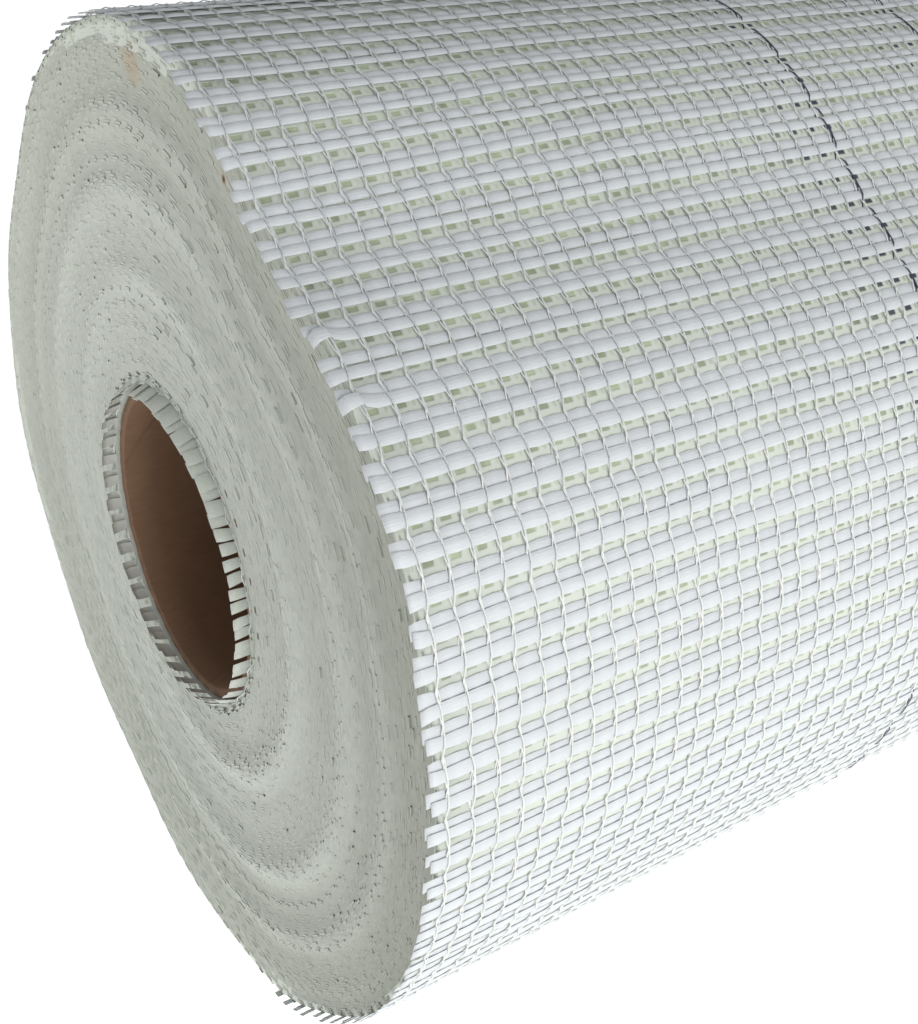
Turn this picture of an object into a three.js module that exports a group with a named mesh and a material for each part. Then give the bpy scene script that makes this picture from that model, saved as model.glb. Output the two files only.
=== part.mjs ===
// Roll of woven fibreglass mesh wound on a cardboard tube, lying on its side.
// Millimetres, +Z up. The roll's axis runs along X, and the origin is on the floor under its middle.
import * as THREE from "three";

// Driving dimensions
const CLOTH_WIDTH = 1000; // width of the mesh cloth, which is the length of the roll
const ROLL_RADIUS = 90; // outside of the last turn
const TUBE_BORE_RADIUS = 28; // inside of the cardboard tube
const TUBE_WALL = 2; // thickness of the cardboard
const TUBE_SETBACK = 3.5; // how far each end of the tube stands back from the cloth's edge
const WINDING_GAP = 0.3; // between the tube and the first turn

// The cloth's edges on each end: most turns stand back a little, and a few bands of them come forward.
const BAND = 5; // radial thickness of one band of turns that slid together
const FACE_SETBACK = 2.4; // how far most turns stand back from the outermost edge
const BAND_STEP = 0.5; // how much neighbouring bands differ
const COLLAR = 3; // radial thickness of the first turns, which come right forward round the tube
const RIM = 2; // radial thickness of the last turns, which come right forward at the outside
const RIDGES = [
  { fromBore: 13, width: 5, height: 1.4 },
  { fromBore: 31, width: 5, height: 1.6 },
  { fromBore: 45, width: 4, height: 1 },
];

const FACETS = 72; // flat strips that make up each round surface

const clothBoreRadius = TUBE_BORE_RADIUS + TUBE_WALL + WINDING_GAP;
const tubeLength = CLOTH_WIDTH - 2 * TUBE_SETBACK;
const axisHeight = ROLL_RADIUS * Math.cos(Math.PI / FACETS); // one strip lies flat on the floor

// How far the band of turns in the middle of the given radii stands back from the cloth's edge.
function setbackAt(radius, index) {
  const fromBore = radius - clothBoreRadius;
  let setback = FACE_SETBACK + (index % 2 === 0 ? 0 : BAND_STEP);
  for (const ridge of RIDGES) {
    const away = (fromBore - ridge.fromBore) / ridge.width;
    setback -= ridge.height * Math.exp(-away * away);
  }
  return setback;
}

// The steps of one end, from the bore outwards, as [radius, setback] pairs.
function endSteps() {
  const firstRadius = clothBoreRadius + COLLAR;
  const lastRadius = ROLL_RADIUS - RIM;
  const count = Math.max(1, Math.round((lastRadius - firstRadius) / BAND));
  const thickness = (lastRadius - firstRadius) / count;
  const steps = [
    [clothBoreRadius, 0],
    [firstRadius, 0],
  ];
  for (let index = 0; index < count; index++) {
    const inner = firstRadius + index * thickness;
    const setback = setbackAt(inner + thickness / 2, index);
    steps.push([inner, setback], [inner + thickness, setback]);
  }
  steps.push([lastRadius, 0], [ROLL_RADIUS, 0]);
  return steps;
}

// A solid of revolution about X from a closed outline of [radius, x] pairs, with a flat strip at the bottom.
function turned(name, outline, material) {
  const points = [...outline, outline[0]].map(([radius, x]) => new THREE.Vector2(radius, x));
  const geometry = new THREE.LatheGeometry(points, FACETS, Math.PI / FACETS, 2 * Math.PI);
  geometry.rotateZ(-Math.PI / 2);
  const mesh = new THREE.Mesh(geometry, material);
  mesh.name = name;
  mesh.position.z = axisHeight;
  return mesh;
}

function meshRoll() {
  const half = CLOTH_WIDTH / 2;
  const steps = endSteps();
  const nearEnd = steps.map(([radius, setback]) => [radius, -half + setback]);
  const farEnd = steps.map(([radius, setback]) => [radius, half - setback]).reverse();
  const fibreglass = new THREE.MeshStandardMaterial({ color: 0xd9ddd6, roughness: 0.55, metalness: 0 });
  return turned("mesh_roll", [...nearEnd, ...farEnd], fibreglass);
}

function coreTube() {
  const half = tubeLength / 2;
  const outer = TUBE_BORE_RADIUS + TUBE_WALL;
  const outline = [
    [TUBE_BORE_RADIUS, -half],
    [outer, -half],
    [outer, half],
    [TUBE_BORE_RADIUS, half],
  ];
  const cardboard = new THREE.MeshStandardMaterial({ color: 0x6b5241, roughness: 0.9, metalness: 0 });
  return turned("core_tube", outline, cardboard);
}

const roll = new THREE.Group();
roll.add(meshRoll(), coreTube());

export default roll;
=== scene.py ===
import math

import bpy
import numpy as np
from bpy.props import FloatProperty, FloatVectorProperty, IntProperty, PointerProperty
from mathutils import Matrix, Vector


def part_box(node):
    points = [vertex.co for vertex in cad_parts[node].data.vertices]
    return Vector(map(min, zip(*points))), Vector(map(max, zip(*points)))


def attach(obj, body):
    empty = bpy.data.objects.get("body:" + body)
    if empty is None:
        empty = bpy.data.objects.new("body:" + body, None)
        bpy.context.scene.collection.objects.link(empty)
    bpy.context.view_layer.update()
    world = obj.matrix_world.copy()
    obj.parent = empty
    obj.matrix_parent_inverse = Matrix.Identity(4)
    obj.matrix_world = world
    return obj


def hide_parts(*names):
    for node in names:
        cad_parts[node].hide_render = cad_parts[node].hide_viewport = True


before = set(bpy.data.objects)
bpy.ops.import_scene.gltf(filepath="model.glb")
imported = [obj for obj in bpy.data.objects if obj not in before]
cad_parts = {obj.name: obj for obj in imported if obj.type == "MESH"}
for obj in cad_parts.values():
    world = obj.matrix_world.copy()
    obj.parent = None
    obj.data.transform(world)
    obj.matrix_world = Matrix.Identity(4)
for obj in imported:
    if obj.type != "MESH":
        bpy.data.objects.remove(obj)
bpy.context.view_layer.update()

bl_info = {
    "name": "Glass mesh roll",
    "version": (1, 0, 0),
    "blender": (4, 5, 0),
    "location": "3D View > Sidebar > Mesh roll",
    "description": "Dresses a roll of woven glass mesh that lies on its side",
    "category": "Add Mesh",
}

MM = 0.001
ROLL_LOW, ROLL_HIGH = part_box("mesh_roll")
TUBE_LOW, TUBE_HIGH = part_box("core_tube")
HALF_LENGTH = ROLL_HIGH.x
AXIS_HEIGHT = (ROLL_LOW.z + ROLL_HIGH.z) / 2
ROLL_RADIUS = (ROLL_HIGH.z - ROLL_LOW.z) / 2
ROLL_GIRTH = 2.0 * math.pi * ROLL_RADIUS
TUBE_RADIUS = (TUBE_HIGH.z - TUBE_LOW.z) / 2
TUBE_HALF = TUBE_HIGH.x
# The middle of the last turn's weave, and the inside of the first turn.
LAST_TURN_RADIUS = ROLL_RADIUS - 0.30 * MM
FIRST_TURN_RADIUS = TUBE_RADIUS + 0.30 * MM
SEEDS = {"row": 11, "cut": 12, "bow": 13, "thread": 14, "face": 15, "tab": 16, "tube": 17, "wave": 18}


# Sizes and colours


def length_property(name, description, default, low, high):
    """A length with its limits, all given in millimetres."""
    return FloatProperty(
        name=name, description=description, default=default * MM, min=low * MM, max=high * MM,
        unit="LENGTH", precision=5)


def colour_property(name, description, default):
    return FloatVectorProperty(
        name=name, description=description, default=default, subtype="COLOR", size=3, min=0.0, max=1.0)


class ClothSizes(bpy.types.PropertyGroup):
    weft_pitch: length_property(
        "Weft pitch", "From one weft band to the next, round the roll", 4.985, 2.0, 12.0)
    warp_pitch: length_property(
        "Warp pitch", "From one pair of warp threads to the next, along the roll", 4.1, 2.0, 12.0)
    turn: length_property("Turn", "Thickness of one turn of cloth", 0.451, 0.2, 1.0)
    weft_width: length_property("Weft width", "Width of a flat weft band", 1.95, 0.5, 5.0)
    weft_thickness: length_property("Weft thickness", "Thickness of a flat weft band", 0.20, 0.05, 0.6)
    thread_width: length_property("Thread width", "Width of one warp thread", 0.23, 0.1, 0.8)
    selvedge: length_property("Selvedge", "From the cloth's cut edge to its first warp", 2.9, 0.0, 10.0)
    marker_places: FloatVectorProperty(
        name="Marker threads", description="From the cloth's edge to each dark marker thread", size=2,
        default=(105.5 * MM, 142.5 * MM), min=0.0, unit="LENGTH")
    free_end: FloatProperty(
        name="Free end", description="Where the free end lies, from the top towards the front",
        default=math.radians(215.0), subtype="ANGLE")
    full_weave: IntProperty(
        name="Full weave", description="How many warps from the near edge have every bend of the weave",
        default=39, min=2, max=80)


class FaceSizes(bpy.types.PropertyGroup):
    setback: length_property(
        "Setback", "How far most turns stand back from the outermost edge", 2.4, 0.0, 8.0)
    collar: length_property(
        "Collar", "Radial thickness of the turns that stand forward round the tube", 1.1, 0.0, 6.0)
    rough_cut: length_property("Rough cut", "How unevenly the weft ends are cut", 0.045, 0.0, 2.0)
    tube_wall: length_property("Tube wall", "Thickness of the cardboard tube", 2.0, 0.5, 6.0)


class Colours(bpy.types.PropertyGroup):
    glass: colour_property("Glass", "Weft bands of glass roving", (0.73, 0.76, 0.78))
    thread: colour_property("Thread", "Warp threads", (0.92, 0.93, 0.88))
    # Painted shade: the grey of the shadow line where a warp thread presses into a band, and of a warp
    # thread over a band high on the roll.
    crease_and_shade: colour_property("Crease", "Where a warp thread presses into a band", (0.58, 0.61, 0.64))
    # Painted deep shade: the green of the openings stands in for the depth of the roll and the light lost
    # down through its turns.
    deep: colour_property("Deep turns", "What shows far down in the openings", (0.44, 0.49, 0.34))
    cut: colour_property("Cut ends", "Ends of the cloth on the roll's faces", (0.575, 0.60, 0.54))
    marker: colour_property("Marker", "Dark marker threads", (0.045, 0.050, 0.085))
    board: colour_property("Cardboard", "Inside of the core tube", (0.215, 0.125, 0.075))
    board_cut: colour_property("Cut cardboard", "Sawn end of the core tube", (0.235, 0.145, 0.092))


class StudioSizes(bpy.types.PropertyGroup):
    camera: FloatVectorProperty(
        name="Camera", description="Where the camera stands", subtype="XYZ", size=3, unit="LENGTH",
        default=(-0.569656, -0.203051, 0.207392))
    sight: FloatVectorProperty(
        name="Sight", description="Direction in which the camera looks", subtype="XYZ", size=3,
        default=(0.4891, 0.7368, -0.4668))
    lens: FloatProperty(
        name="Lens", description="Focal length on a 36 mm sensor", default=45.7, min=10.0, unit="CAMERA")
    key: FloatProperty(name="Key light", description="Power of the soft key light", default=12.5, min=0.0)
    fill: FloatProperty(name="Fill light", description="Power of the soft fill light", default=0.7, min=0.0)
    world: FloatProperty(
        name="Surroundings", description="Brightness of the white room", default=0.35, min=0.0)


# Random unevenness


def uneven(rows, places, scale, seed):
    """Smooth random values from -1 to 1. Each row has its own run of them, which changes over the scale."""
    row_count = 997
    knot_count = 61
    table = np.random.default_rng(seed).uniform(-1.0, 1.0, (row_count, knot_count))
    place = places / scale
    knot = np.floor(place).astype(int)
    part = place - knot
    part = part * part * (3.0 - 2.0 * part)
    row = rows % row_count
    return table[row, knot % knot_count] * (1.0 - part) + table[row, (knot + 1) % knot_count] * part


def scattered(rows, seed):
    """One random value from -1 to 1 for each row."""
    count = 9973
    table = np.random.default_rng(seed).uniform(-1.0, 1.0, count)
    return table[rows % count]


# Where the cloth lies


class Winding:
    """A spiral of cloth about the roll's axis. Lengths along it count from where the spiral starts."""

    def __init__(self, start_radius, start_angle, growth):
        self.start_radius = start_radius
        self.start_angle = start_angle
        self.growth = growth
        self.inwards = growth < 0.0

    def turned(self, along):
        """How far round the axis the cloth has gone, in radians."""
        spread = self.start_radius ** 2 + self.growth * along / math.pi
        return (np.sqrt(spread) - self.start_radius) * 2.0 * math.pi / self.growth

    def length(self, turned):
        """How much cloth lies on the way round the axis."""
        return self.start_radius * turned + self.growth * turned ** 2 / (4.0 * math.pi)

    def point(self, along, across, height):
        """A point of the cloth, from its length along, its distance from the near end and its height."""
        turned = self.turned(along)
        radius = self.start_radius + self.growth * turned / (2.0 * math.pi) + height
        return on_roll(across - HALF_LENGTH, radius, self.start_angle + turned)


# Where the outer turns bulge or sink: the angle and how far it spreads in degrees, then the height in
# millimetres at the edge and farther along.
BULGES = (
    (5.0, 24.0, 3.6, 3.6), (36.0, 12.0, -4.6, 0.0), (42.0, 10.0, 0.0, -2.4), (66.0, 11.0, 2.2, 0.6),
    (93.0, 22.0, 1.2, 1.0), (158.0, 9.0, 1.8, 0.8), (-152.0, 13.0, -3.2, -1.0), (-97.0, 14.0, 4.5, 2.0),
    (-50.0, 17.0, -4.2, -2.0),
)
BULGE_FADE = 60.0 * MM


def bulge(x, radius, angle):
    """How far a point lies outside an even roll. The turns near the bore keep round."""
    inward = np.clip((HALF_LENGTH - np.abs(x)) / BULGE_FADE, 0.0, 1.0)
    total = 0.0
    for middle, spread, at_edge, deeper in BULGES:
        away = (np.degrees(angle) - middle + 180.0) % 360.0 - 180.0
        total = total + (at_edge + (deeper - at_edge) * inward) * np.exp(-(away / spread) ** 2)
    round_part = 1.3 * TUBE_RADIUS
    share = np.clip((radius - round_part) / (ROLL_RADIUS - round_part), 0.0, 1.0)
    return total * MM * share ** 1.5


def on_roll(x, radius, angle):
    """Places from the distance along the axis, the radius and the angle from the top towards the front."""
    x, radius, angle = np.broadcast_arrays(x, radius, angle)
    radius = radius + bulge(x, radius, angle)
    return np.stack([x, -radius * np.sin(angle), AXIS_HEIGHT + radius * np.cos(angle)], axis=-1)


def outer_winding(cloth):
    """The cloth from its free end inwards."""
    return Winding(LAST_TURN_RADIUS, cloth.free_end, -cloth.turn)


NESTLING = 0.15 * MM


def nestled(along):
    """How far the second turn rises into the openings of the last one."""
    return NESTLING * np.clip(along / ROLL_GIRTH - 0.9, 0.0, 0.1) / 0.1


# How far back the cloth's edge lies, in millimetres, after how many turns from the free end.
EDGE_SLIDES = (
    (0.0, 0.34, 0.42, 0.82, 0.87, 1.0, 1.34, 1.44, 1.80, 1.88, 2.0),
    (2.4, 2.1, 0.0, 0.0, 2.4, 2.6, 2.2, 0.35, 0.35, 2.4, 2.4),
)


EDGE_WAVE = 0.35 * MM
EDGE_WAVE_LENGTH = 90.0 * MM


def wander(winding, along):
    """How the cloth's edge strays along the roll. The first turns, round the tube, come right forward."""
    slid = np.interp(along / ROLL_GIRTH, *EDGE_SLIDES) * MM if winding.inwards else 0.0
    wave = uneven(np.zeros_like(along, dtype=int), along, EDGE_WAVE_LENGTH, SEEDS["wave"])
    return slid + EDGE_WAVE * wave


# Meshes


def strips(points):
    """Vertices and quads of many like grids of points, given as [grid, row, column, xyz]."""
    count, rows, columns, _ = points.shape
    corner = np.arange(rows - 1)[:, None] * columns + np.arange(columns - 1)[None, :]
    one = np.stack([corner, corner + 1, corner + columns + 1, corner + columns], axis=-1)
    starts = np.arange(count)[:, None, None] * rows * columns
    return points.reshape(-1, 3), (one.reshape(1, -1, 4) + starts).reshape(-1, 4)


def joined(parts):
    """One set of vertices, quads and marks from several."""
    points, quads, marks, start = [], [], [], 0
    for some_points, some_quads, some_marks in parts:
        points.append(some_points)
        quads.append(some_quads + start)
        marks.append(some_marks.ravel())
        start += len(some_points)
    return np.concatenate(points), np.concatenate(quads), np.concatenate(marks)


def make_piece(
        name, points, quads, material, replaces=None, marks=None, smooth=True):
    """A mesh piece that rides on the roll. marks are values for each vertex that its material reads."""
    mesh = bpy.data.meshes.new(name)
    mesh.vertices.add(len(points))
    mesh.vertices.foreach_set("co", np.ascontiguousarray(points, dtype=np.float32).ravel())
    mesh.loops.add(quads.size)
    mesh.loops.foreach_set("vertex_index", quads.ravel().astype(np.int32))
    mesh.polygons.add(len(quads))
    mesh.polygons.foreach_set("loop_start", np.arange(0, quads.size, 4, dtype=np.int32))
    mesh.polygons.foreach_set("loop_total", np.full(len(quads), 4, dtype=np.int32))
    mesh.polygons.foreach_set("use_smooth", np.full(len(quads), smooth))
    for mark, values in (marks or {}).items():
        attribute = mesh.attributes.new(mark, "FLOAT", "POINT")
        attribute.data.foreach_set("value", np.ascontiguousarray(values, dtype=np.float32).ravel())
    mesh.update(calc_edges=True)
    mesh.materials.append(material)
    piece = bpy.data.objects.new(name, mesh)
    bpy.context.scene.collection.objects.link(piece)
    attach(piece, "root")
    if replaces:
        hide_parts(replaces)
    return piece


# Weft bands

# The section of a band for each number of points: sides in widths and heights in thicknesses.
BAND_SECTION = {
    5: ((-0.5, -0.36, 0.0, 0.36, 0.5), (-0.5, 0.25, 0.5, 0.25, -0.5)),
    4: ((-0.5, -0.3, 0.3, 0.5), (-0.5, 0.45, 0.45, -0.5)),
    3: ((-0.5, 0.0, 0.5), (-0.4, 0.5, -0.4)),
}
# How a loop at the cloth's edge rises, at each point along its band from the cut end.
LOOP_RISE = (0.0, 0.15, 0.8, 1.0, 0.95, 0.6, 0.15)
LOOP_HEIGHT = 0.8 * MM
# Where a band has points, in warp pitches, and how far a warp thread presses it in there.
FULL_STEPS = ((-0.07, 0.6), (0.0, 1.0), (0.07, 0.6), (0.5, 0.0))
PLAIN_STEPS = ((0.0, 1.0), (0.5, 0.0))
# How far bands stray round the roll: all of a turn together, each along its length and each as a whole.
TURN_BOW = 0.9 * MM
BAND_BOW = 0.20 * MM
BAND_SHIFT = 0.18 * MM
# How far a band rises between warps and sinks under them.
BAND_RISE = 0.05 * MM
# How far the crease under a binding thread slants across a band, in thread widths.
CREASE_SLANT = 1.8


def band_stations(cloth, first_warp, last_warp, steps):
    """Distances from the cloth's edge at which a band has points, and how far each is pressed in, which
    also sets how much painted shade it gets there.
    """
    places, crease_and_shade = [], []
    for warp in range(first_warp, last_warp):
        for step, pressed in steps:
            places.append(cloth.selvedge + (warp + step) * cloth.warp_pitch)
            crease_and_shade.append(pressed)
    return np.array(places), np.array(crease_and_shade)


def lateral_bow(rows, across):
    """How far all the bands of a turn stray together from their even places round the roll."""
    return TURN_BOW * uneven(0 * rows, across, 160.0 * MM, SEEDS["bow"])


def lateral_drift(rows, across):
    """How far a band strays from its even place round the roll."""
    own = BAND_BOW * uneven(rows, across, 17.0 * MM, SEEDS["row"])
    return own + lateral_bow(rows, across) + BAND_SHIFT * scattered(rows, SEEDS["row"])


# How wide the bands spread: angles in degrees and factors.
OUTER_SPREAD = ((0.0, 30.0, 80.0, 140.0, 360.0), (0.86, 0.84, 1.14, 1.1, 0.86))
COLLAR_SPREAD = ((0.0, 48.0, 62.0, 150.0, 200.0, 330.0, 360.0), (1.65, 1.60, 1.02, 1.0, 1.15, 1.2, 1.65))
# How far the first turns fold in over the tube's end at the top and bottom, and how deep the fold starts.
COLLAR_FOLD = 1.6 * MM
COLLAR_FOLD_DEPTH = 3.2 * MM


def weft_bands(cloth, winding, rows, places, crease_and_shade, columns, spread=OUTER_SPREAD, ragged=None, loops=()):
    """Flat bands of roving that lie along the roll. ragged says how unevenly their ends are cut at the near
    edge, and loops names the bands whose end has pulled up into a loop."""
    sides, heights = (np.array(v) for v in BAND_SECTION[columns])
    rows = np.asarray(rows)[:, None]
    across = np.broadcast_to(places, (len(rows), len(places))).copy()
    pressed = np.broadcast_to(crease_and_shade, across.shape)
    even = rows * cloth.weft_pitch
    drift = lateral_drift(rows, across)
    swell = 0.08 * uneven(rows, across, 9.0 * MM, SEEDS["thread"])
    width = cloth.weft_width * (1.0 - 0.13 * pressed + swell)
    around = np.degrees(winding.start_angle + winding.turned(even)) % 360.0
    width = width * np.interp(around, *spread)
    lift = BAND_RISE * (1.0 - pressed) - BAND_RISE * pressed
    thick = cloth.weft_thickness * (1.0 - 0.25 * pressed)
    slant = crossing_side(cloth, rows, sides[None, :]) * cloth.thread_width * CREASE_SLANT
    along = (even + drift)[:, :, None] + width[:, :, None] * sides
    height = lift[:, :, None] + thick[:, :, None] * heights
    x = across[:, :, None] + slant[:, None, :] * (pressed > 0.01)[:, :, None]
    # How far each point is pressed in; the band's finish paints shade there in proportion.
    marks = np.broadcast_to(pressed[:, :, None], x.shape)
    if ragged is not None:
        ends = scattered(rows[:, 0], SEEDS["cut"])[:, None, None]
        flare = 1.0 + 0.10 * scattered(rows[:, 0], SEEDS["tab"])[:, None, None]
        front_x = ragged * ends + 0.08 * MM * np.abs(sides)
        behind_x = np.full_like(front_x, 0.45 * cloth.selvedge)
        x = np.concatenate([front_x, front_x, behind_x, x], axis=1)
        start = along[:, :1]
        bent = 0.4 * MM * scattered(rows[:, 0], SEEDS["face"])[:, None, None]
        flared = start + flare * cloth.weft_width * 0.12 * sides
        along = np.concatenate([flared + bent, flared + bent, flared + 0.4 * bent, along], axis=1)
        closed = np.full_like(height[:, :1], -0.5 * cloth.weft_thickness)
        height = np.concatenate([closed, height[:, :1], height[:, :1] + 0.04 * MM, height], axis=1)
        marks = np.concatenate([marks[:, :1] * 0.0] * 3 + [marks], axis=1)
    for row in loops:
        hump = np.zeros(x.shape[1])
        hump[:len(LOOP_RISE)] = LOOP_RISE
        height[row - rows[0, 0]] += LOOP_HEIGHT * hump[:, None]
        along[row - rows[0, 0]] -= LOOP_HEIGHT * hump[:, None]
    if winding.inwards:
        height = height + nestled(along)
    else:
        upright = 0.5 + 0.5 * np.cos(2.0 * (winding.start_angle + winding.turned(along)))
        height = height - COLLAR_FOLD * upright * np.clip(1.0 - x / COLLAR_FOLD_DEPTH, 0.0, 1.0)
    points = winding.point(along, x + wander(winding, along), height)
    vertices, quads = strips(points)
    return vertices, quads[:, ::-1], marks


# Warp threads

# Where the binding thread of a pair runs over two wefts, at eighths of the way, starting between two wefts.
BINDING_SIDE = np.array([-0.55, 0.02, 0.42, 0.68, 0.80, 0.72, 0.50, 0.10])
BINDING_LIFT = np.array([-0.06, 0.14, 0.27, 0.16, 0.02, 0.16, 0.27, 0.12]) * MM
# The straight thread lies under the wefts and comes up where the binding thread crosses it.
STRAIGHT_SIDE = np.array([-0.25, -0.10, 0.00, 0.20, 0.55, 0.20, 0.00, -0.10])
STRAIGHT_LIFT = np.array([0.10, -0.12, -0.26, -0.10, 0.16, -0.10, -0.26, -0.12]) * MM
# A marker thread goes down under the second turn after every other weft.
MARKER_LIFT = np.array([-0.50, -0.35, 0.25, 0.20, 0.12, 0.20, 0.25, -0.35]) * MM
THREAD_SECTION = {
    4: ((-0.5, -0.25, 0.25, 0.5), (-0.35, 0.35, 0.35, -0.35)),
    3: ((-0.5, 0.0, 0.5), (-0.3, 0.4, -0.3)),
}


def crossing_side(cloth, rows, sides):
    """How far to the side the binding thread is where it crosses each place of a band's width."""
    reach = cloth.weft_width / cloth.weft_pitch
    eighth = ((rows % 2) * 4.0 + 2.0 + 4.0 * sides * reach) % 8.0
    return np.interp(eighth, np.arange(9), np.append(BINDING_SIDE, BINDING_SIDE[0]))


def warp_threads(
        cloth, winding, warps, first_row, last_row, side, lift, swing, columns, every=1, width=1.0):
    """Thin threads that run round the roll. every is how many eighths of two wefts lie between points."""
    sides, heights = (np.array(v) for v in THREAD_SECTION[columns])
    warps = np.asarray(warps)[:, None]
    steps = np.arange(first_row * 4, last_row * 4 + 1, every)[None, :]
    place = steps % 8
    flat = np.zeros((len(warps), steps.size))
    along = (steps / 4.0 - 0.5) * cloth.weft_pitch + flat
    across = cloth.selvedge + warps * cloth.warp_pitch
    own = 0.16 * MM * uneven(warps, along, 14.0 * MM, SEEDS["thread"])
    across = across + swing * side[place] + own
    even_rows = np.round(steps / 4.0).astype(int)
    along = along + lateral_drift(even_rows + 0 * warps, across)
    height = lift[place] + flat
    thread = cloth.thread_width * width * (1.0 + 0.12 * uneven(warps, along, 6.0 * MM, SEEDS["cut"]))
    x = across[:, :, None] + thread[:, :, None] * sides
    # How high the thread rides over the bands; its finish paints shade there.
    raised = np.clip(height / (0.2 * MM), 0.0, 1.0)[:, :, None] + 0.0 * sides
    height = height[:, :, None] + thread[:, :, None] * heights * 0.75
    along = along[:, :, None] + 0.0 * sides
    if winding.inwards:
        height = height + nestled(along)
    vertices, quads = strips(winding.point(along, x + wander(winding, along), height))
    return vertices, quads, raised


# Finishes


def is_vector(item):
    """Whether an operand is a colour or a vector, as a socket or as numbers."""
    if isinstance(item, Value):
        return item.socket.type in {"RGBA", "VECTOR"}
    return hasattr(item, "__len__")


class Value:
    """A socket of a node tree. Arithmetic with values writes Math nodes, or Vector Math nodes for colours
    and vectors."""

    def __init__(self, finish, socket):
        self.finish = finish
        self.socket = socket

    def maths(self, operation, first, second):
        kind = "ShaderNodeVectorMath" if is_vector(first) or is_vector(second) else "ShaderNodeMath"
        return self.finish.node(kind, {"operation": operation}, {0: first, 1: second})

    def __add__(self, other):
        return self.maths("ADD", self, other)

    def __radd__(self, other):
        return self.maths("ADD", other, self)

    def __sub__(self, other):
        return self.maths("SUBTRACT", self, other)

    def __rsub__(self, other):
        return self.maths("SUBTRACT", other, self)

    def __mul__(self, other):
        return self.maths("MULTIPLY", self, other)

    def __rmul__(self, other):
        return self.maths("MULTIPLY", other, self)

    def __truediv__(self, other):
        return self.maths("DIVIDE", self, other)

    def __rtruediv__(self, other):
        return self.maths("DIVIDE", other, self)

    def __pow__(self, other):
        return self.maths("POWER", self, other)


class Finish:
    """A material and the nodes that make it."""

    def __init__(self, name, roughness, specular=0.5):
        self.material = bpy.data.materials.new(name)
        self.material.use_nodes = True
        self.tree = self.material.node_tree
        self.tree.nodes.clear()
        self.shader = self.tree.nodes.new("ShaderNodeBsdfPrincipled")
        output = self.tree.nodes.new("ShaderNodeOutputMaterial")
        self.tree.links.new(self.shader.outputs["BSDF"], output.inputs["Surface"])
        self.shader.inputs["Roughness"].default_value = roughness
        self.shader.inputs["Specular IOR Level"].default_value = specular

    def plug(self, value, socket):
        """Link a value to an input, or set the input to numbers."""
        if isinstance(value, Value):
            self.tree.links.new(value.socket, socket)
            return
        channels = len(socket.default_value) if hasattr(socket.default_value, "__len__") else 0
        if channels and not hasattr(value, "__len__"):
            value = (value,) * channels
        elif channels == 4 and len(value) == 3:
            value = (*value, 1.0)
        socket.default_value = value

    def node(self, kind, settings=None, inputs=None, output=0):
        made = self.tree.nodes.new(kind)
        for name, value in (settings or {}).items():
            setattr(made, name, value)
        for name, value in (inputs or {}).items():
            self.plug(value, made.inputs[name])
        return Value(self, made.outputs[output])

    def set(self, **values):
        for name, value in values.items():
            self.plug(value, self.shader.inputs[name.replace("_", " ").title()])

    def place(self):
        return self.node("ShaderNodeNewGeometry", output="Position")

    def parts(self, vector):
        return tuple(self.node("ShaderNodeSeparateXYZ", None, {0: vector}, output=i) for i in range(3))

    def mark(self, name):
        return self.node("ShaderNodeAttribute", {"attribute_name": name}, output="Fac")

    def noise(self, vector, scale, detail=2.0, roughness=0.5):
        inputs = {"Vector": vector, "Scale": scale, "Detail": detail, "Roughness": roughness}
        return self.node("ShaderNodeTexNoise", None, inputs, output="Fac")

    def smooth(self, value, low, high):
        """0 below low, 1 above high and a smooth rise between them."""
        inputs = {"Value": value, "From Min": low, "From Max": high}
        return self.node("ShaderNodeMapRange", {"interpolation_type": "SMOOTHSTEP"}, inputs)

    def mix(self, factor, first, second):
        inputs = {0: factor, 6: first, 7: second}
        return self.node("ShaderNodeMix", {"data_type": "RGBA"}, inputs, output=2)

    def single(self, operation, value, other=0.0):
        return self.node("ShaderNodeMath", {"operation": operation}, {0: value, 1: other})

    def bump(self, height, distance, strength=1.0):
        inputs = {"Height": height, "Distance": distance, "Strength": strength}
        self.plug(self.node("ShaderNodeBump", None, inputs), self.shader.inputs["Normal"])


def tint(colour, factor):
    return tuple(min(1.0, channel * factor) for channel in colour)


def strand_streaks(finish, fineness):
    """Fine lines along the roll's axis, as of many filaments side by side."""
    across = 1.0 / (fineness * MM)
    lengthwise = 1.0 / (22.0 * MM)
    return finish.noise(finish.place() * (lengthwise, across, across), 1.0, 2.0)


def glass_finish(name, colour, crease_and_shade, fineness=0.16):
    """Glass roving: white bands with fine strands, with painted shade, greyer, where a warp thread presses
    in.
    """
    finish = Finish(name, 0.42, 0.45)
    streaks = strand_streaks(finish, fineness)
    patches = finish.noise(finish.place(), 1.0 / (7.0 * MM), 2.0)
    shade = 0.88 + 0.14 * streaks + 0.08 * patches
    pressed = finish.mark("pressed")
    # Painted shade: the band takes the crease grey where a warp thread presses it in.
    finish.set(base_color=finish.mix(pressed * 0.5, shade * colour, crease_and_shade))
    finish.bump(streaks, 0.12 * MM, 0.6)
    finish.shader.inputs["Sheen Weight"].default_value = 0.08
    return finish.material


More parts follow.
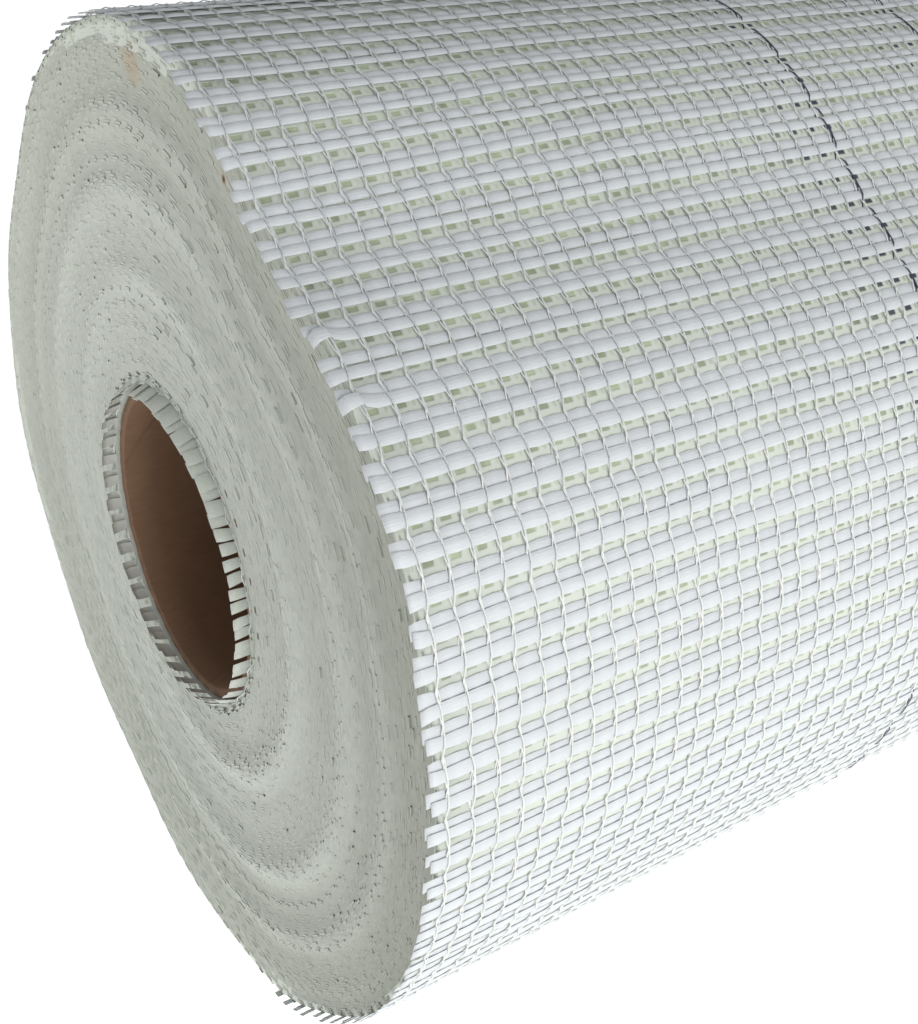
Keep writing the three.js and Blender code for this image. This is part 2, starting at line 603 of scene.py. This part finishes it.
def thread_finish(name, colour, raised_shade_colour, roughness=0.35):
    """Twisted thread with small slanting ridges, and painted shade: greyer over a band, most of all where
    it is high on the roll.
    """
    finish = Finish(name, roughness, 0.6)
    place = finish.place()
    twist = finish.node("ShaderNodeTexWave", {"bands_direction": "DIAGONAL"},
                        {"Vector": place, "Scale": 1.0 / (1.6 * MM), "Distortion": 2.0}, output="Fac")
    grain = finish.noise(place, 1.0 / (0.9 * MM), 2.0)
    # Painted shade: over a band the thread takes the grey shade colour, a little low on the roll and much
    # high up, where less light falls.
    upper_shade = finish.smooth(finish.parts(place)[2], 0.100, 0.150)
    thread = finish.mix(finish.mark("raised") * (0.15 + 0.7 * upper_shade), colour, raised_shade_colour)
    finish.set(base_color=thread * (0.94 + 0.12 * grain))
    finish.bump(twist, 0.05 * MM, 0.5)
    return finish.material


# The deeper bands between the green openings, greener and darker than the glass: the turns down there in
# painted shade. Then the felt of cut ends near the rim, darker and greener as painted shade.
DEEP_COVER = (0.68, 0.72, 0.64)
CUT_OUTER_SHADE = (0.535, 0.55, 0.47)


def stripe(finish, value, half, soft):
    """1 in a stripe about each whole number, half wide on each side, and 0 between the stripes."""
    away = finish.single("ABSOLUTE", finish.single("FRACT", value + 0.5) - 0.5)
    return 1.0 - finish.smooth(away, half - soft, half + soft)


def deep_finish(cloth, colours):
    """The turns far down: their bands in painted shade, and gaps of painted deep shade, green, which go
    dark beside the marker threads.
    """
    finish = Finish("deep_turns", 0.6, 0.3)
    x = finish.parts(finish.place())[0]
    weft = finish.mark("weft_phase")
    warp = finish.mark("warp_phase")
    stray = (finish.noise(finish.place(), 1.0 / (25.0 * MM), 2.0) - 0.5) * 0.5
    # Painted deep shade: green openings in a stripe under each weft band, broken into patches across the
    # warps.
    gap = stripe(finish, weft - 0.205 + stray * 0.3, 0.085, 0.035)
    patch = stripe(finish, warp + stray + 0.62, 0.19, 0.05)
    small = stripe(finish, warp + stray + 0.17, 0.06, 0.04)
    gap = gap * finish.single("MAXIMUM", patch, small * 0.35)
    # The cover is the deeper bands in painted shade; both it and the openings vary at random in tone.
    glow = finish.noise(finish.place(), 1.0 / (5.0 * MM), 2.0)
    cover = finish.mix(glow, DEEP_COVER, tint(DEEP_COVER, 1.12))
    green = finish.smooth(glow, 0.35, 0.65)
    green = finish.mix(green, tint(colours.deep, 0.85), tint(colours.deep, 1.3))
    # The deeper marker threads and the painted shadow they cast: the openings go dark navy at each marker
    # and fade out over 20 mm towards the cloth's edge.
    for place in cloth.marker_places:
        for side in (1.0, -1.0):
            inward = (x * side + HALF_LENGTH) / MM - place / MM
            near = finish.smooth(inward, -20.0, -4.0) * (1.0 - finish.smooth(inward, 2.0, 5.0))
            green = finish.mix(near * 0.93, green, colours.marker)
    finish.set(base_color=finish.mix(gap, cover, green))
    finish.bump(1.0 - gap, 0.2 * MM, 0.5)
    return finish.material


# Marks on the near face: the angle in degrees, the radius, how wide, how strong and the colour.
FACE_SPOTS = (
    (3.3, 86.0, 5.0, 0.40, (0.55, 0.36, 0.20)),
    (25.8, 82.9, 1.5, 0.55, (0.50, 0.34, 0.22)),
    (25.8, 82.9, 0.8, 0.95, (0.10, 0.045, 0.025)),
)
# Where a row of short gaps, painted as dark shade, lies round the first turns, in millimetres from the
# axis.
DASH_RING = 34.2


def spot(finish, x, y, z, angle, radius, wide):
    """1 in the middle of a spot on the near face, and 0 outside it."""
    turned = math.radians(angle)
    right = (y + radius * MM * math.sin(turned)) / (wide * MM)
    above = (z - (AXIS_HEIGHT + radius * MM * math.cos(turned))) / (wide * MM)
    inside = 1.0 - finish.smooth((right * right + above * above) ** 0.5, 0.2, 1.0)
    return inside * finish.single("LESS_THAN", x, 0.0)


def cut_finish(name, cloth, colours, brightness):
    """The felt of cut ends on the roll's faces, with painted highlights on the crests, painted shade in
    dark slots and gaps, towards the rim and towards the front, a stain and a speck.
    """
    finish = Finish(name, 0.75, 0.2)
    place = finish.place()
    x, y, z = finish.parts(place)
    radius = ((y * y) + (z - AXIS_HEIGHT) * (z - AXIS_HEIGHT)) ** 0.5
    angle = finish.node("ShaderNodeMath", {"operation": "ARCTAN2"}, {0: y * -1.0, 1: z - AXIS_HEIGHT})
    grain = finish.noise(place, 1.0 / (1.1 * MM), 3.0)
    clumps = finish.noise(place, 1.0 / (12.0 * MM), 3.0)
    turns = finish.node("ShaderNodeCombineXYZ", None, {0: radius / (0.7 * MM), 1: angle * 30.0, 2: 0.0})
    flecks = finish.noise(turns, 1.0, 2.0)
    slots = finish.smooth(flecks, 0.72, 0.76) * finish.smooth(clumps, 0.45, 0.6)
    outer = finish.smooth(radius / MM, 50.0, 90.0)
    crest = finish.mark("crest")
    # The felt's own grain and clumps, with a painted highlight on the crests and painted shade towards the
    # rim.
    shade = 0.80 + 0.14 * grain + 0.14 * clumps + 0.20 * flecks + 0.09 * crest - 0.05 * outer
    # Painted shade: the felt darkens towards the front of the face, where y is below zero.
    shade = shade + 0.0022 * finish.single("MINIMUM", y / MM, 0.0)
    # Painted shade: away from the crests the felt goes darker and greener towards the rim.
    felt = finish.mix(outer * (1.0 - crest) * 0.75, colours.cut, CUT_OUTER_SHADE)
    felt = felt * (shade * brightness)
    # Painted shade: dark slots in the felt, in the deep green darkened.
    felt = finish.mix(slots * 0.4, felt, tint(colours.deep, 0.6))
    # Painted shade: a row of short dark gaps round the first turns, from about 35 to 115 degrees round from
    # the top towards the front.
    ring = 1.0 - finish.smooth(finish.single("ABSOLUTE", radius / MM - DASH_RING), 0.2, 0.5)
    dashes = ring * stripe(finish, angle * DASH_RING * MM / cloth.weft_pitch, 0.14, 0.05)
    dashes = dashes * finish.smooth(angle, 0.6, 0.9) * (1.0 - finish.smooth(angle, 1.6, 2.0))
    felt = finish.mix(dashes * 0.9, felt, tint(colours.board, 0.6))
    for turned, away, wide, strength, colour in FACE_SPOTS:
        felt = finish.mix(spot(finish, x, y, z, turned, away, wide) * strength, felt, colour)
    finish.set(base_color=felt)
    finish.bump(grain * 0.5 + flecks * 0.5, 0.2 * MM, 0.5)
    return finish.material


def board_finish(colours):
    """Brown spiral-wound cardboard: mottled paper with a winding seam, and its own brown at the cut."""
    finish = Finish("cardboard", 0.88, 0.2)
    place = finish.place()
    x, y, z = finish.parts(place)
    lengthwise = 1.0 / (3.0 * MM)
    across = 1.0 / (0.6 * MM)
    fibres = finish.noise(place * (lengthwise, across, across), 1.0, 4.0)
    mottle = finish.noise(place, 1.0 / (11.0 * MM), 3.0)
    angle = finish.node("ShaderNodeMath", {"operation": "ARCTAN2"}, {0: y, 1: z - AXIS_HEIGHT})
    seam = stripe(finish, x / (95.0 * MM) + angle / (2.0 * math.pi), 0.006, 0.003)
    shade = (0.70 + 0.42 * mottle + 0.22 * fibres) * (1.0 - 0.10 * seam)
    paper = shade * colours.board
    sawn = (0.75 + 0.5 * fibres) * colours.board_cut
    finish.set(base_color=finish.mix(finish.mark("sawn"), paper, sawn))
    finish.bump(fibres * 0.5 + mottle * 0.5 - seam * 0.6, 0.25 * MM, 0.5)
    return finish.material


# Faces of the roll


# Bands of turns that slid forward on a face: the middle radius, how far it swings and towards which angle,
# then the width and the height. Lengths are in millimetres and the angle in radians.
RIDGES = (
    (44.8, 7.6, 0.70, 3.2, 1.9),
    (62.0, 4.5, 0.90, 3.0, 1.9),
    (75.0, 1.5, 1.10, 2.2, 1.2),
)


def face_setback(face, radius, angle):
    """How far the turn at a radius stands back from the outermost edge, less where bands slid forward."""
    forward = 0.0
    for middle, swing, lean, width, height in RIDGES:
        away = (radius / MM - middle - swing * np.cos(angle - lean)) / width
        reach = 0.35 + 0.65 * np.clip(0.5 + 0.6 * np.cos(angle - 2.0), 0.0, 1.0)
        forward = forward + height * reach * np.exp(-away * away)
    rows = np.zeros(np.broadcast(radius, angle).shape, dtype=int)
    ripple = 0.25 * uneven(rows, radius + 0.0 * angle, 1.6 * MM, SEEDS["face"])
    outer = np.clip((radius / MM - 76.0) / 12.0, 0.0, 1.0)
    outer = outer * np.clip(0.5 - 0.9 * np.cos(angle - 1.1), 0.0, 1.0)
    return face.setback * (1.0 - 0.6 * outer) + (ripple - forward) * MM


CREST_HEIGHT = 1.5 * MM


def crest_of(face, setback):
    """1 where a band of turns has slid forward and 0 where the turns stand back as most do. The faces'
    finish paints a highlight where it is 1.
    """
    return np.clip((face.setback - setback) / CREST_HEIGHT, 0.0, 1.0)


def weft_ends(cloth, face, side, first_row, last_row):
    """The cut ends of the wefts of every turn inside the outer ones, on one face of the roll."""
    winding = outer_winding(cloth)
    rows = np.arange(first_row, last_row)
    along = rows * cloth.weft_pitch + 0.45 * MM * scattered(rows, SEEDS["row"])
    turned = winding.turned(along)
    radius = winding.start_radius + winding.growth * turned / (2.0 * math.pi)
    angle = winding.start_angle + turned
    seed = SEEDS["cut"] + (1 if side > 0 else 0)
    setback = face_setback(face, radius, angle)
    # A few ends stand out beyond the others.
    standing = np.clip(scattered(rows, seed) - 0.93, 0.0, 1.0) * 4.0 * MM
    tip = setback - face.rough_cut * (1.0 + scattered(rows, seed + 2)) - standing
    root = setback + 0.4 * MM
    half = 0.5 * cloth.weft_width * (1.05 + 0.3 * scattered(rows, SEEDS["tab"])) / radius
    bend = 0.35 * MM * scattered(rows, SEEDS["bow"]) / radius
    lean = 0.05 * MM * scattered(rows, SEEDS["thread"])
    thick = 0.36 * cloth.turn
    rings = []
    for distance, rise, moved in (
        (root, thick, 0.0), (tip, thick * 0.9, 1.0), (tip, -thick * 0.9, 1.0), (root, -thick, 0.0),
    ):
        x = side * (HALF_LENGTH - distance)
        height = radius + rise + lean * moved
        ends = [on_roll(x, height, angle + end * half + bend * moved) for end in (-1.0, 1.0)]
        rings.append(np.stack(ends, axis=1))
    points = np.stack(rings, axis=1)
    vertices, quads = strips(points)
    crest = np.repeat(crest_of(face, setback), points.shape[1] * points.shape[2])
    return vertices, (quads if side > 0 else quads[:, ::-1]), crest


def wound_body(cloth, face, outer_radius, inner_radius):
    """The inner turns as one closed form: a face at each end, the last hidden turn outside and the bore."""
    segments = 240
    rings = 46
    lengthwise = 40
    winding = outer_winding(cloth)
    turned = np.linspace(0.0, 2.0 * math.pi, segments + 1)[None, :]
    angle = winding.start_angle + turned
    radius = np.linspace(inner_radius, outer_radius, rings)[:, None]
    setback = face_setback(face, radius, angle)
    crest = crest_of(face, setback)
    clear = 0.6 * MM
    in_collar = np.clip((inner_radius + face.collar + clear - radius) / (0.4 * MM), 0.0, 1.0)
    setback = setback * (1.0 - in_collar) + (face.setback + clear) * in_collar
    share = np.linspace(0.0, 1.0, lengthwise + 2)[1:-1, None]
    along_side = (setback[-1:] - HALF_LENGTH) * (1.0 - 2.0 * share)
    near, far = setback - HALF_LENGTH, HALF_LENGTH - setback[::-1]
    x = np.concatenate([near, along_side, far, near[:1]])
    radius = np.concatenate([radius, np.full_like(share, outer_radius), radius[::-1], radius[:1]])
    along = winding.length(turned) + 0.0 * x
    across = x + HALF_LENGTH
    rows = np.round(along / cloth.weft_pitch).astype(int)
    bow = lateral_bow(rows, across)
    flat = np.zeros_like(along_side)
    marks = {
        "crest": np.concatenate([crest, flat, crest[::-1], crest[:1]]),
        "weft_phase": (along - bow) / cloth.weft_pitch,
        "warp_phase": (across - cloth.selvedge - wander(winding, along)) / cloth.warp_pitch,
    }
    vertices, quads = strips(on_roll(x, radius, angle)[None])
    return vertices, quads, marks


# Operators


class Piece(bpy.types.Operator):
    """What the operators that make pieces have in common"""
    bl_options = {"REGISTER", "UNDO"}


OUTER_TURNS = 2


def turn_rows(cloth, turn):
    """The numbers of the first weft of a turn and of the next one."""
    winding = outer_winding(cloth)
    starts = [winding.length(2.0 * math.pi * t) / cloth.weft_pitch for t in (turn, turn + 1)]
    return tuple(int(round(start)) for start in starts)


def marker_warps(cloth, first, last):
    """The numbers of the warps that are marker threads, counted from each edge of the cloth."""
    warps_in_cloth = (2.0 * HALF_LENGTH - 2.0 * cloth.selvedge) / cloth.warp_pitch
    numbers = set()
    for place in cloth.marker_places:
        near = (place - cloth.selvedge) / cloth.warp_pitch
        numbers.add(int(round(near)))
        numbers.add(int(round(warps_in_cloth - near)))
    return sorted(n for n in numbers if first <= n < last)


class MakeInnerTurns(Piece):
    """Make the inner turns of the roll as one form under the outer turns"""
    bl_idname = "mesh.glass_roll_inner_turns"
    bl_label = "Inner turns"

    def execute(self, context):
        cloth, face = context.scene.roll_cloth, context.scene.roll_face
        colours = context.scene.roll_colours
        outer = LAST_TURN_RADIUS - (OUTER_TURNS - 0.3) * cloth.turn
        inner = FIRST_TURN_RADIUS
        vertices, quads, marks = wound_body(cloth, face, outer, inner)
        deep = deep_finish(cloth, colours)
        body = make_piece("inner_turns", vertices, quads, deep, replaces="mesh_roll", marks=marks)
        # The ground of the faces takes the cut felt at plain brightness, darker than the weft ends in front
        # of it: painted shade between the tips.
        body.data.materials.append(cut_finish("cut_ground", cloth, colours, 1.0))
        middles = np.zeros(len(body.data.polygons) * 3)
        body.data.polygons.foreach_get("center", middles)
        middles = middles.reshape(-1, 3)
        radius = np.hypot(middles[:, 1], middles[:, 2] - AXIS_HEIGHT)
        deepest = HALF_LENGTH - 8.0 * MM
        margin = 0.5 * MM
        on_face = (np.abs(middles[:, 0]) > deepest) & (radius < outer - margin)
        on_face |= radius < inner + margin
        body.data.polygons.foreach_set("material_index", on_face.astype(np.int32))
        return {"FINISHED"}


class MakeWeftEnds(Piece):
    """Make the cut ends of the wefts that show on both faces of the roll"""
    bl_idname = "mesh.glass_roll_weft_ends"
    bl_label = "Weft ends"

    def execute(self, context):
        cloth, face = context.scene.roll_cloth, context.scene.roll_face
        # The same felt 10% lighter than on the ground behind the ends: a painted highlight on the standing
        # tips.
        material = cut_finish("cut_ends", cloth, context.scene.roll_colours, 1.10)
        winding = outer_winding(cloth)
        depth = LAST_TURN_RADIUS - (FIRST_TURN_RADIUS + face.collar)
        last = int(winding.length(2.0 * math.pi * depth / cloth.turn) / cloth.weft_pitch)
        first = turn_rows(cloth, OUTER_TURNS)[0]
        for name, side in (("weft_ends_near", -1.0), ("weft_ends_far", 1.0)):
            vertices, quads, crest = weft_ends(cloth, face, side, first, last)
            make_piece(name, vertices, quads, material, marks={"crest": crest}, smooth=False)
        return {"FINISHED"}


class MakeOuterWefts(Piece):
    """Make the weft bands of the outer turns"""
    bl_idname = "mesh.glass_roll_outer_wefts"
    bl_label = "Outer weft bands"

    def execute(self, context):
        cloth, colours = context.scene.roll_cloth, context.scene.roll_colours
        winding = outer_winding(cloth)
        material = glass_finish("glass_bands", colours.glass, colours.crease_and_shade)
        # The piece, where its bands have points, how many across, and which bands end in a loop.
        plans = (
            ("last_turn_wefts", FULL_STEPS, 5, (60, 62)),
            ("second_turn_wefts", PLAIN_STEPS, 4, ()),
        )
        for turn, (name, steps, columns, loops) in enumerate(plans):
            first, last = turn_rows(cloth, turn)
            places, crease_and_shade = band_stations(cloth, 0, cloth.full_weave, steps)
            vertices, quads, marks = weft_bands(
                cloth, winding, range(first, last), places, crease_and_shade, columns, ragged=0.5 * MM, loops=loops)
            make_piece(name, vertices, quads, material, marks={"pressed": marks})
        beyond = cloth.selvedge + (cloth.full_weave - 1) * cloth.warp_pitch
        # The piece, how far short of the far edge it ends, and how many points a band has along and across.
        plans = (
            ("last_turn_wefts_beyond", 0.0, 90, 4),
            ("second_turn_wefts_beyond", 1.7 * MM, 30, 3),
        )
        for turn, (name, short, stations, columns) in enumerate(plans):
            first, last = turn_rows(cloth, turn)
            places = np.linspace(beyond, 2.0 * HALF_LENGTH - short, stations)
            vertices, quads, marks = weft_bands(
                cloth, winding, range(first, last), places, np.zeros_like(places), columns)
            make_piece(name, vertices, quads, material, marks={"pressed": marks})
        return {"FINISHED"}


class MakeOuterWarps(Piece):
    """Make the warp threads of the outer turns, with the dark marker threads among them"""
    bl_idname = "mesh.glass_roll_outer_warps"
    bl_label = "Outer warp threads"

    def execute(self, context):
        cloth, colours = context.scene.roll_cloth, context.scene.roll_colours
        winding = outer_winding(cloth)
        white = thread_finish("warp_threads", colours.thread, colours.crease_and_shade)
        dark = thread_finish("marker_threads", colours.marker, colours.marker, 0.5)
        swing = 0.46 * MM
        bold = 1.05 * MM
        near = range(cloth.full_weave)
        all_warps = int((2.0 * HALF_LENGTH - 2.0 * cloth.selvedge) / cloth.warp_pitch) + 1
        far = range(cloth.full_weave, all_warps)
        binding, straight = (BINDING_SIDE, BINDING_LIFT), (STRAIGHT_SIDE, STRAIGHT_LIFT)
        # The piece, its turn and warps, their weave, the points across, and the eighths between points.
        plans = (
            ("last_turn_binding_threads", 0, near, binding, 4, 1),
            ("last_turn_straight_threads", 0, near, straight, 3, 1),
            ("second_turn_binding_threads", 1, near, binding, 3, 1),
            ("second_turn_straight_threads", 1, near, straight, 3, 2),
            ("last_turn_threads_beyond", 0, far, binding, 3, 2),
        )
        markers = []
        for name, turn, warps, (side, lift), columns, every in plans:
            first, last = turn_rows(cloth, turn)
            marked = marker_warps(cloth, warps[0], warps[-1] + 1)
            plain = [w for w in warps if side is STRAIGHT_SIDE or w not in marked]
            vertices, quads, raised = warp_threads(
                cloth, winding, plain, first, last, side, lift, swing, columns, every)
            make_piece(name, vertices, quads, white, marks={"raised": raised})
            if marked and side is BINDING_SIDE:
                markers.append(warp_threads(
                    cloth, winding, marked, first, last, side, MARKER_LIFT, bold, 4, width=1.1))
        vertices, quads, raised = joined(markers)
        make_piece("marker_threads", vertices, quads, dark, marks={"raised": raised})
        return {"FINISHED"}


class MakeCollar(Piece):
    """Make the first turns of cloth, which stand forward round the tube"""
    bl_idname = "mesh.glass_roll_collar"
    bl_label = "First turns"

    def execute(self, context):
        cloth, colours = context.scene.roll_cloth, context.scene.roll_colours
        material = glass_finish("glass_first_turns", tint(colours.cut, 1.2), colours.crease_and_shade)
        turns = 2
        warps = 2
        swing = 0.4 * MM
        winding = Winding(start_radius=TUBE_RADIUS + 0.20 * MM, start_angle=-0.2, growth=cloth.turn)
        count = int(winding.length(2.0 * math.pi * turns) / cloth.weft_pitch)
        places, crease_and_shade = band_stations(cloth, 0, warps, FULL_STEPS)
        vertices, quads, marks = weft_bands(
            cloth, winding, range(count), places, crease_and_shade, 5, COLLAR_SPREAD, ragged=0.2 * MM)
        make_piece("first_turns_wefts", vertices, quads, material, marks={"pressed": marks})
        vertices, quads, raised = warp_threads(
            cloth, winding, range(warps), 0, count, BINDING_SIDE, BINDING_LIFT, swing, 4)
        thread = thread_finish("first_threads", colours.thread, colours.crease_and_shade)
        make_piece("first_turns_threads", vertices, quads, thread, marks={"raised": raised})
        return {"FINISHED"}


class MakeTube(Piece):
    """Make the cardboard core tube"""
    bl_idname = "mesh.glass_roll_tube"
    bl_label = "Core tube"

    def execute(self, context):
        face, colours = context.scene.roll_face, context.scene.roll_colours
        outer = TUBE_RADIUS
        inner = TUBE_RADIUS - face.tube_wall
        worn = 0.35 * MM
        inside = 6.0 * MM
        segments = 144
        angle = np.linspace(0.0, 2.0 * math.pi, segments + 1)[None, :]
        end = TUBE_HALF
        outline = (
            (inner, -end + inside, 0.0), (inner, -end + worn, 0.3), (inner + worn, -end, 1.0),
            (outer - worn, -end, 1.0), (outer, -end + worn, 0.6), (outer, end - worn, 0.6),
            (outer - worn, end, 1.0), (inner + worn, end, 1.0), (inner, end - worn, 0.3),
            (inner, end - inside, 0.0), (inner, -end + inside, 0.0),
        )
        rings, sawn = [], []
        for radius, x, cut in outline:
            frayed = 0.12 * MM * cut * uneven(np.zeros_like(angle, dtype=int), angle, 0.05, SEEDS["tube"])
            rings.append(on_roll(x + frayed, radius, angle))
            sawn.append(np.full(angle.shape, cut))
        vertices, quads = strips(np.concatenate(rings, axis=0)[None])
        material = board_finish(colours)
        marks = {"sawn": np.concatenate(sawn, axis=0)}
        make_piece("cardboard_tube", vertices, quads, material, "core_tube", marks)
        return {"FINISHED"}


class MakeStudio(Piece):
    """Make the floor, the lights, the surroundings and the camera"""
    bl_idname = "scene.glass_roll_studio"
    bl_label = "Studio"

    def execute(self, context):
        studio = context.scene.roll_studio
        make_floor()
        make_world(studio.world)
        target = Vector((-HALF_LENGTH, 0.0, AXIS_HEIGHT))
        soft_light("key", target + KEY_PLACE, target, LIGHT_SIZE, studio.key)
        soft_light("fill", target + FILL_PLACE, target, LIGHT_SIZE, studio.fill)
        make_camera(studio)
        context.scene.view_settings.view_transform = "Standard"
        return {"FINISHED"}


FLOOR_COLOUR = (0.93, 0.93, 0.93)
# Where the lights stand, as seen from the middle of the near end, in metres.
KEY_PLACE = Vector((0.10, -1.60, 0.30))
FILL_PLACE = Vector((-1.6, 0.3, 0.7))
LIGHT_SIZE = 1.0


def make_floor():
    side = 8.0
    level = -0.2 * MM
    mesh = bpy.data.meshes.new("floor")
    corners = [(-side, -side, level), (side, -side, level), (side, side, level), (-side, side, level)]
    mesh.from_pydata(corners, [], [(0, 1, 2, 3)])
    floor = bpy.data.objects.new("floor", mesh)
    finish = Finish("pale_floor", 0.7, 0.1)
    grain = finish.noise(finish.place(), 400.0, 2.0)
    finish.set(base_color=(0.985 + 0.02 * grain) * FLOOR_COLOUR)
    finish.set(emission_color=(1.0, 1.0, 1.0))
    finish.shader.inputs["Emission Strength"].default_value = 0.75
    mesh.materials.append(finish.material)
    bpy.context.scene.collection.objects.link(floor)


def make_world(brightness):
    world = bpy.data.worlds.new("white_room")
    world.use_nodes = True
    background = world.node_tree.nodes["Background"]
    background.inputs["Color"].default_value = (0.97, 0.985, 1.0, 1.0)
    background.inputs["Strength"].default_value = brightness
    bpy.context.scene.world = world


def soft_light(name, place, target, size, power):
    light = bpy.data.lights.new(name, "AREA")
    light.shape = "SQUARE"
    light.size = size
    light.energy = power
    lamp = bpy.data.objects.new(name, light)
    lamp.location = place
    lamp.rotation_euler = (target - place).to_track_quat("-Z", "Y").to_euler()
    bpy.context.scene.collection.objects.link(lamp)


def make_camera(studio):
    data = bpy.data.cameras.new("camera")
    data.lens = studio.lens
    data.sensor_width = 36.0
    data.clip_start = 0.01
    camera = bpy.data.objects.new("camera", data)
    camera.location = studio.camera
    camera.rotation_mode = "QUATERNION"
    camera.rotation_quaternion = Vector(studio.sight).to_track_quat("-Z", "Y")
    bpy.context.scene.collection.objects.link(camera)
    bpy.context.scene.camera = camera


class RollPanel(bpy.types.Panel):
    bl_idname = "VIEW3D_PT_glass_roll"
    bl_label = "Mesh roll"
    bl_space_type = "VIEW_3D"
    bl_region_type = "UI"
    bl_category = "Mesh roll"

    def draw(self, context):
        scene = context.scene
        for group in (scene.roll_cloth, scene.roll_face, scene.roll_colours, scene.roll_studio):
            box = self.layout.box()
            for name in group.__annotations__:
                box.prop(group, name)
        for operator in OPERATORS:
            self.layout.operator(operator.bl_idname)


OPERATORS = (
    MakeInnerTurns, MakeWeftEnds, MakeOuterWefts, MakeOuterWarps, MakeCollar, MakeTube, MakeStudio,
)
GROUPS = {
    "roll_cloth": ClothSizes, "roll_face": FaceSizes, "roll_colours": Colours, "roll_studio": StudioSizes,
}


def register():
    for group in GROUPS.values():
        bpy.utils.register_class(group)
    for operator in OPERATORS:
        bpy.utils.register_class(operator)
    bpy.utils.register_class(RollPanel)
    for name, group in GROUPS.items():
        setattr(bpy.types.Scene, name, PointerProperty(type=group))


def unregister():
    for name in GROUPS:
        delattr(bpy.types.Scene, name)
    for item in (RollPanel, *OPERATORS, *GROUPS.values()):
        bpy.utils.unregister_class(item)


def main():
    register()
    bpy.ops.mesh.glass_roll_inner_turns()
    bpy.ops.mesh.glass_roll_weft_ends()
    bpy.ops.mesh.glass_roll_outer_wefts()
    bpy.ops.mesh.glass_roll_outer_warps()
    bpy.ops.mesh.glass_roll_collar()
    bpy.ops.mesh.glass_roll_tube()
    bpy.ops.scene.glass_roll_studio()


if __name__ == "__main__":
    main()
